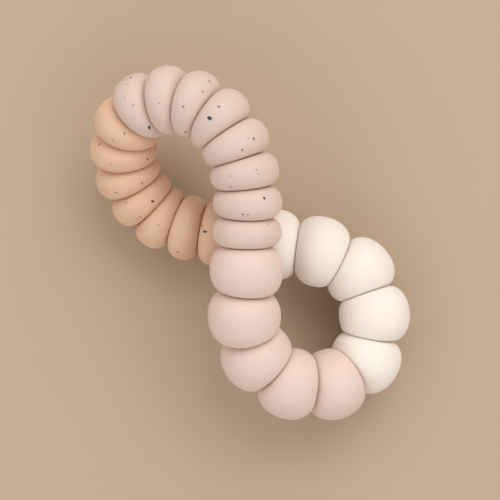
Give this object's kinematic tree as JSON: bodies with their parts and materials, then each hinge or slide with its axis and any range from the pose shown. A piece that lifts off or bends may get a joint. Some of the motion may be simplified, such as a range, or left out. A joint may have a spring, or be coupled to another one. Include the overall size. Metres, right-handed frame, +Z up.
{
  "type": "beaded teething ring",
  "caption": "Closed loop of soft silicone barrel and disc beads threaded on a tied cord, twisted into a figure eight.",
  "frame": {"origin": "centre of the bounding box in plan, at the base that the lowest beads rest on", "axes": "+X along the eight, from the speckled lobe to the plain lobe; +Y across it; +Z up from the table"},
  "size_m": [0.084, 0.0422, 0.0313],
  "materials": {
    "pink_silicone": "soft matt plain pale pink silicone",
    "cream_silicone": "soft matt plain cream silicone",
    "pink_speckled": "soft matt pale pink silicone with sparse dark speckles",
    "peach_speckled": "soft matt peach silicone with sparse dark speckles",
    "cord": "waxed off-white cord"
  },
  "bodies": {
    "cord_loop": {"threading_cord": "cord", "peach_speckled_disc_8": "peach_speckled"},
    "pink_bead_1_turns": {"pink_bead_1": "pink_silicone"},
    "pink_bead_2_turns": {"pink_bead_2": "pink_silicone"},
    "pink_bead_3_turns": {"pink_bead_3": "pink_silicone"},
    "pink_bead_4_turns": {"pink_bead_4": "pink_silicone"},
    "pink_bead_5_turns": {"pink_bead_5": "pink_silicone"},
    "cream_bead_5_turns": {"cream_bead_5": "cream_silicone"},
    "cream_bead_4_turns": {"cream_bead_4": "cream_silicone"},
    "cream_bead_3_turns": {"cream_bead_3": "cream_silicone"},
    "cream_bead_2_turns": {"cream_bead_2": "cream_silicone"},
    "cream_bead_1_turns": {"cream_bead_1": "cream_silicone"},
    "peach_speckled_disc_7_turns": {"peach_speckled_disc_7": "peach_speckled"},
    "peach_speckled_disc_6_turns": {"peach_speckled_disc_6": "peach_speckled"},
    "peach_speckled_disc_5_turns": {"peach_speckled_disc_5": "peach_speckled"},
    "peach_speckled_disc_4_turns": {"peach_speckled_disc_4": "peach_speckled"},
    "peach_speckled_disc_3_turns": {"peach_speckled_disc_3": "peach_speckled"},
    "peach_speckled_disc_2_turns": {"peach_speckled_disc_2": "peach_speckled"},
    "peach_speckled_disc_1_turns": {"peach_speckled_disc_1": "peach_speckled"},
    "pink_speckled_disc_1_turns": {"pink_speckled_disc_1": "pink_speckled"},
    "pink_speckled_disc_2_turns": {"pink_speckled_disc_2": "pink_speckled"},
    "pink_speckled_disc_3_turns": {"pink_speckled_disc_3": "pink_speckled"},
    "pink_speckled_disc_4_turns": {"pink_speckled_disc_4": "pink_speckled"},
    "pink_speckled_disc_5_turns": {"pink_speckled_disc_5": "pink_speckled"},
    "pink_speckled_disc_6_turns": {"pink_speckled_disc_6": "pink_speckled"},
    "pink_speckled_disc_7_turns": {"pink_speckled_disc_7": "pink_speckled"},
    "pink_speckled_disc_8_turns": {"pink_speckled_disc_8": "pink_speckled"}
  },
  "joints": [
    {"name": "pink_bead_1_spin", "type": "hinge", "parent": "cord_loop", "child": "pink_bead_1_turns", "pos_m": [0.00371, -0.00338, 0.02074], "axis": [0.7258, -0.6766, -0.1246], "continuous": true},
    {"name": "pink_bead_2_spin", "type": "hinge", "parent": "cord_loop", "child": "pink_bead_2_turns", "pos_m": [0.01013, -0.00976, 0.01862], "axis": [0.6382, -0.6543, -0.4056], "continuous": true},
    {"name": "pink_bead_3_spin", "type": "hinge", "parent": "cord_loop", "child": "pink_bead_3_turns", "pos_m": [0.0186, -0.01368, 0.01494], "axis": [0.9739, -0.0577, -0.2194], "continuous": true},
    {"name": "pink_bead_4_spin", "type": "hinge", "parent": "cord_loop", "child": "pink_bead_4_turns", "pos_m": [0.02742, -0.01231, 0.01309], "axis": [0.8721, 0.4481, -0.1964], "continuous": true},
    {"name": "pink_bead_5_spin", "type": "hinge", "parent": "cord_loop", "child": "pink_bead_5_turns", "pos_m": [0.03354, -0.00612, 0.01066], "axis": [0.4148, 0.7787, -0.4707], "continuous": true},
    {"name": "cream_bead_5_spin", "type": "hinge", "parent": "cord_loop", "child": "cream_bead_5_turns", "pos_m": [0.0346, 0.00262, 0.00796], "axis": [-0.2515, 0.965, 0.0744], "continuous": true},
    {"name": "cream_bead_4_spin", "type": "hinge", "parent": "cord_loop", "child": "cream_bead_4_turns", "pos_m": [0.02867, 0.01057, 0.00817], "axis": [-0.8435, 0.5351, -0.0467], "continuous": true},
    {"name": "cream_bead_3_spin", "type": "hinge", "parent": "cord_loop", "child": "cream_bead_3_turns", "pos_m": [0.02043, 0.01386, 0.00767], "axis": [-0.9774, 0.2041, -0.0557], "continuous": true},
    {"name": "cream_bead_2_spin", "type": "hinge", "parent": "cord_loop", "child": "cream_bead_2_turns", "pos_m": [0.01075, 0.01038, 0.00805], "axis": [-0.6613, -0.7427, 0.1051], "continuous": true},
    {"name": "cream_bead_1_spin", "type": "hinge", "parent": "cord_loop", "child": "cream_bead_1_turns", "pos_m": [0.00427, 0.00513, 0.00736], "axis": [-0.8644, -0.4608, -0.2012], "continuous": true},
    {"name": "peach_speckled_disc_7_spin", "type": "hinge", "parent": "cord_loop", "child": "peach_speckled_disc_7_turns", "pos_m": [-0.00655, -0.00308, 0.00776], "axis": [-0.768, -0.6387, 0.0471], "continuous": true},
    {"name": "peach_speckled_disc_6_spin", "type": "hinge", "parent": "cord_loop", "child": "peach_speckled_disc_6_turns", "pos_m": [-0.01114, -0.00658, 0.00736], "axis": [-0.8176, -0.5602, -0.1331], "continuous": true},
    {"name": "peach_speckled_disc_5_spin", "type": "hinge", "parent": "cord_loop", "child": "peach_speckled_disc_5_turns", "pos_m": [-0.01657, -0.00924, 0.00699], "axis": [-0.9617, -0.2693, 0.0521], "continuous": true},
    {"name": "peach_speckled_disc_4_spin", "type": "hinge", "parent": "cord_loop", "child": "peach_speckled_disc_4_turns", "pos_m": [-0.02233, -0.00974, 0.00793], "axis": [-0.9689, 0.0691, 0.2378], "continuous": true},
    {"name": "peach_speckled_disc_3_spin", "type": "hinge", "parent": "cord_loop", "child": "peach_speckled_disc_3_turns", "pos_m": [-0.02775, -0.00857, 0.00972], "axis": [-0.8573, 0.3427, 0.3842], "continuous": true},
    {"name": "peach_speckled_disc_2_spin", "type": "hinge", "parent": "cord_loop", "child": "peach_speckled_disc_2_turns", "pos_m": [-0.03222, -0.00561, 0.01249], "axis": [-0.6038, 0.6133, 0.5092], "continuous": true},
    {"name": "peach_speckled_disc_1_spin", "type": "hinge", "parent": "cord_loop", "child": "peach_speckled_disc_1_turns", "pos_m": [-0.03495, -0.00164, 0.01554], "axis": [-0.3195, 0.7705, 0.5516], "continuous": true},
    {"name": "pink_speckled_disc_1_spin", "type": "hinge", "parent": "cord_loop", "child": "pink_speckled_disc_1_turns", "pos_m": [-0.03519, 0.00357, 0.01883], "axis": [0.2553, 0.8489, 0.4628], "continuous": true},
    {"name": "pink_speckled_disc_2_spin", "type": "hinge", "parent": "cord_loop", "child": "pink_speckled_disc_2_turns", "pos_m": [-0.03261, 0.00799, 0.02111], "axis": [0.623, 0.6935, 0.3618], "continuous": true},
    {"name": "pink_speckled_disc_3_spin", "type": "hinge", "parent": "cord_loop", "child": "pink_speckled_disc_3_turns", "pos_m": [-0.02797, 0.01132, 0.02303], "axis": [0.8816, 0.395, 0.2583], "continuous": true},
    {"name": "pink_speckled_disc_4_spin", "type": "hinge", "parent": "cord_loop", "child": "pink_speckled_disc_4_turns", "pos_m": [-0.02249, 0.01273, 0.02416], "axis": [0.99, 0.0695, 0.1231], "continuous": true},
    {"name": "pink_speckled_disc_5_spin", "type": "hinge", "parent": "cord_loop", "child": "pink_speckled_disc_5_turns", "pos_m": [-0.01647, 0.01193, 0.02437], "axis": [0.9499, -0.3092, -0.0464], "continuous": true},
    {"name": "pink_speckled_disc_6_spin", "type": "hinge", "parent": "cord_loop", "child": "pink_speckled_disc_6_turns", "pos_m": [-0.0112, 0.00954, 0.02387], "axis": [0.8578, -0.5003, -0.1178], "continuous": true},
    {"name": "pink_speckled_disc_7_spin", "type": "hinge", "parent": "cord_loop", "child": "pink_speckled_disc_7_turns", "pos_m": [-0.00632, 0.00599, 0.02296], "axis": [0.7402, -0.649, -0.1759], "continuous": true},
    {"name": "pink_speckled_disc_8_spin", "type": "hinge", "parent": "cord_loop", "child": "pink_speckled_disc_8_turns", "pos_m": [-0.0021, 0.00204, 0.0219], "axis": [0.7114, -0.6798, -0.1783], "continuous": true}
  ]
}
